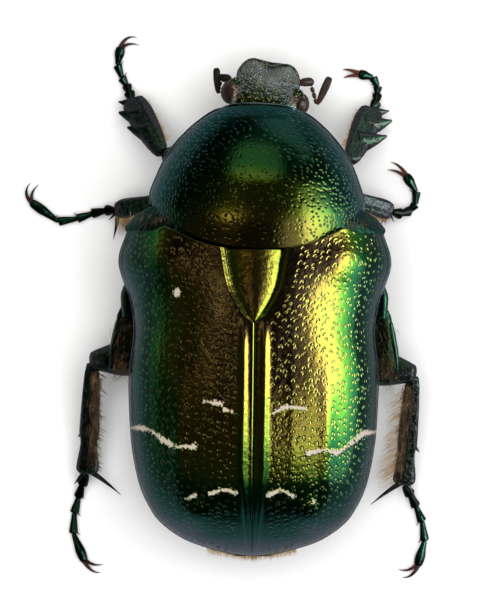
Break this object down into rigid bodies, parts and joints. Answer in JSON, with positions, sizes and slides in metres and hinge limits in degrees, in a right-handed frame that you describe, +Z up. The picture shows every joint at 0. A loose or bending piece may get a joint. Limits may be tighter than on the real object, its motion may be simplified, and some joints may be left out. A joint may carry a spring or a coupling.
{
  "type": "rose chafer",
  "caption": "Life-size rose chafer standing still on its feet: domed pronotum, notched scutellum, closed metallic green wing cases, spread legs and clubbed antennae.",
  "frame": {"origin": "on the floor below the middle of the whole animal's box, legs and claws included", "axes": "+Z up; the head points to -Y; the beetle's left side is +X"},
  "size_m": [0.0166, 0.0222, 0.0087],
  "materials": {
    "elytra_green": "metallic structural colour, gold-green to blue-green, glossy, punctured",
    "pronotum_green": "metallic dark green, glossy, finely punctured",
    "scutellum_bronze": "metallic bronze green, glossy",
    "head_black_green": "metallic black green, glossy, closely punctured",
    "underside_black_green": "metallic black green, glossy, with tawny hairs",
    "leg_black_green": "black with metallic green gleam, glossy",
    "foot_brown_black": "brown-black, glossy, claws red-brown",
    "mouth_brown_black": "brown-black, half gloss",
    "eye_brown": "dark brown, glossy",
    "pygidium_bronze": "metallic bronze with pale scales"
  },
  "bodies": {
    "root": {"head": "head_black_green", "eye_left": "eye_brown", "eye_right": "eye_brown", "antenna_left": "foot_brown_black", "antenna_right": "foot_brown_black", "mouthparts": "mouth_brown_black", "palp_left": "mouth_brown_black", "palp_right": "mouth_brown_black", "pronotum": "pronotum_green", "prosternum": "underside_black_green", "scutellum": "scutellum_bronze", "mesepimeron_left": "underside_black_green", "mesepimeron_right": "underside_black_green", "elytron_left": "elytra_green", "elytron_right": "elytra_green", "metathorax": "underside_black_green", "abdomen": "underside_black_green", "pygidium": "pygidium_bronze", "coxa_fore_left": "underside_black_green", "femur_fore_left": "leg_black_green", "tibia_fore_left": "leg_black_green", "tarsus_fore_left": "foot_brown_black", "coxa_fore_right": "underside_black_green", "femur_fore_right": "leg_black_green", "tibia_fore_right": "leg_black_green", "tarsus_fore_right": "foot_brown_black", "coxa_mid_left": "underside_black_green", "femur_mid_left": "leg_black_green", "tibia_mid_left": "leg_black_green", "tarsus_mid_left": "foot_brown_black", "coxa_mid_right": "underside_black_green", "femur_mid_right": "leg_black_green", "tibia_mid_right": "leg_black_green", "tarsus_mid_right": "foot_brown_black", "coxa_hind_left": "underside_black_green", "femur_hind_left": "leg_black_green", "tibia_hind_left": "leg_black_green", "tarsus_hind_left": "foot_brown_black", "coxa_hind_right": "underside_black_green", "femur_hind_right": "leg_black_green", "tibia_hind_right": "leg_black_green", "tarsus_hind_right": "foot_brown_black"}
  },
  "joints": []
}
